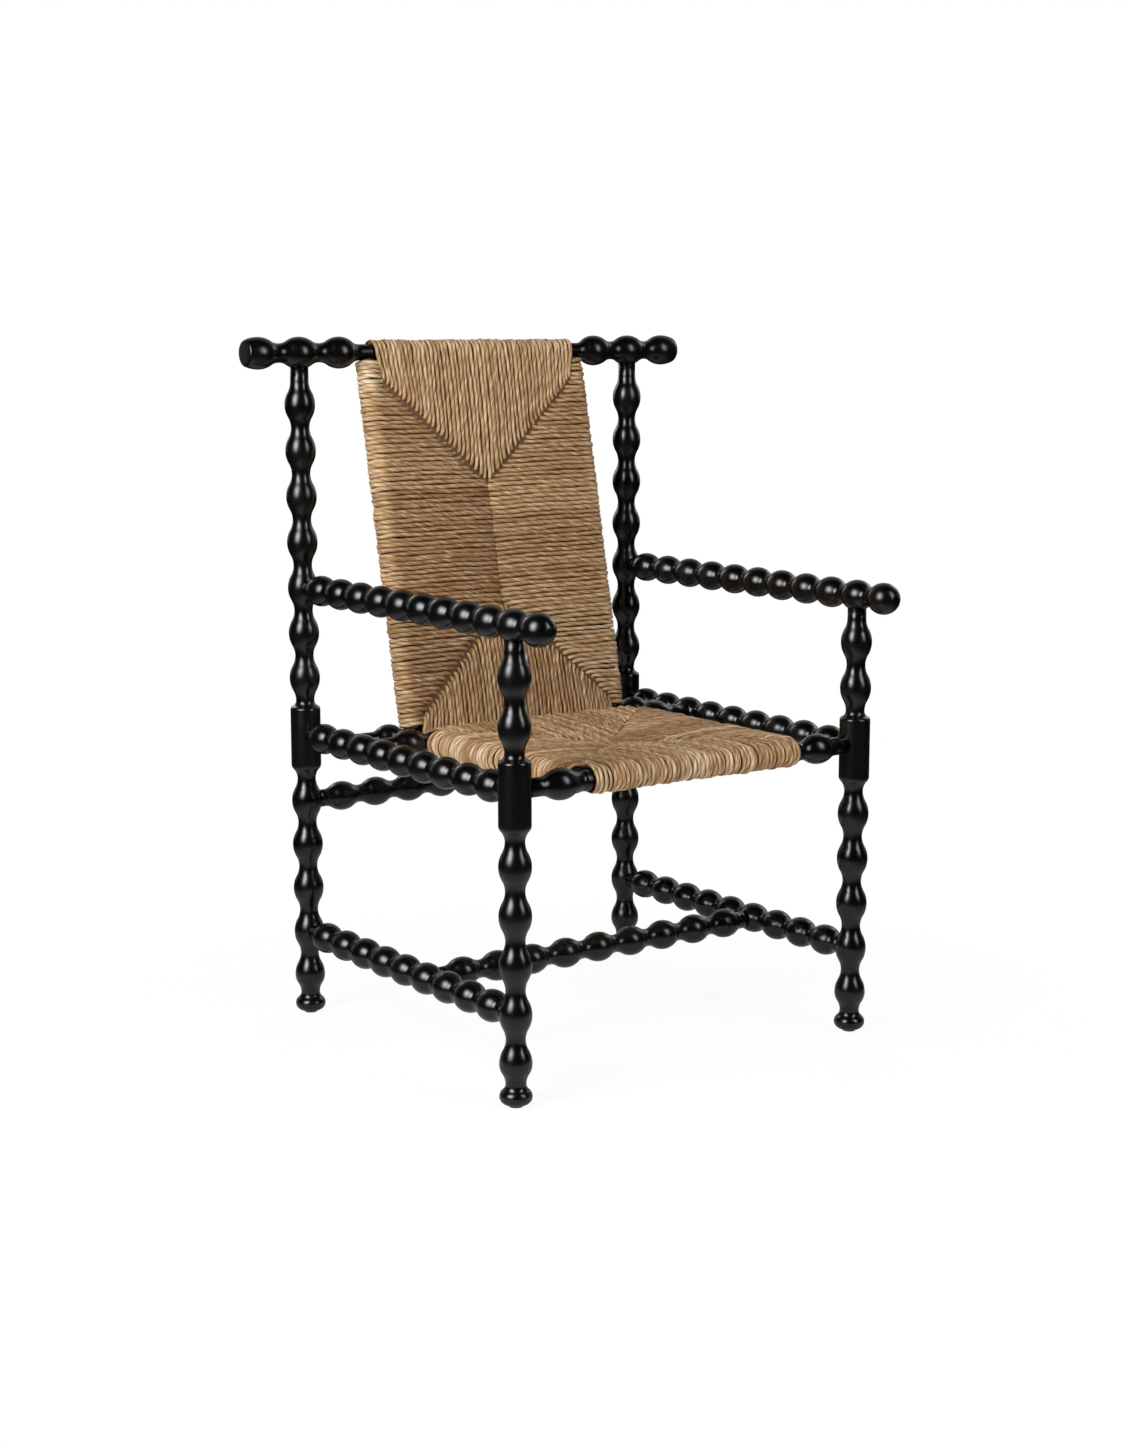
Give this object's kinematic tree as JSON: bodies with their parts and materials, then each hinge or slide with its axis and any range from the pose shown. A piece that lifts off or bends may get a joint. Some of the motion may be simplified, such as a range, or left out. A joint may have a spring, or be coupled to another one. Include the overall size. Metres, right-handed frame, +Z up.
{
  "type": "armchair",
  "caption": "Bobbin-turned wooden armchair with a rush seat and a reclined rush back panel; arms end in round knobs.",
  "frame": {"origin": "on the floor, under the middle of the chair's overall box", "axes": "+Z up, -Y the way the sitter faces, +X to the right for someone who looks at the chair's front; left and right in the nodes' names are seen from the front too"},
  "size_m": [0.745, 0.6284, 0.9735],
  "materials": {
    "black_lacquer": "satin black lacquer over turned hardwood",
    "rush": "hand-twisted natural rush cord, matt to slightly waxy",
    "glide": "dark nail-in glide"
  },
  "bodies": {
    "root": {"front_left_post": "black_lacquer", "front_right_post": "black_lacquer", "back_left_post": "black_lacquer", "back_right_post": "black_lacquer", "left_seat_rail": "black_lacquer", "right_seat_rail": "black_lacquer", "left_side_stretcher": "black_lacquer", "right_side_stretcher": "black_lacquer", "left_arm": "black_lacquer", "right_arm": "black_lacquer", "cross_stretcher": "black_lacquer", "rear_stretcher": "black_lacquer", "front_seat_rail": "black_lacquer", "rear_seat_rail": "black_lacquer", "back_bottom_rail": "black_lacquer", "crest_rail": "black_lacquer", "left_seat_inner_rail": "black_lacquer", "right_seat_inner_rail": "black_lacquer", "left_back_stile": "black_lacquer", "right_back_stile": "black_lacquer", "front_left_glide": "glide", "front_right_glide": "glide", "back_left_glide": "glide", "back_right_glide": "glide", "seat_rush": "rush", "back_rush": "rush"}
  },
  "joints": []
}
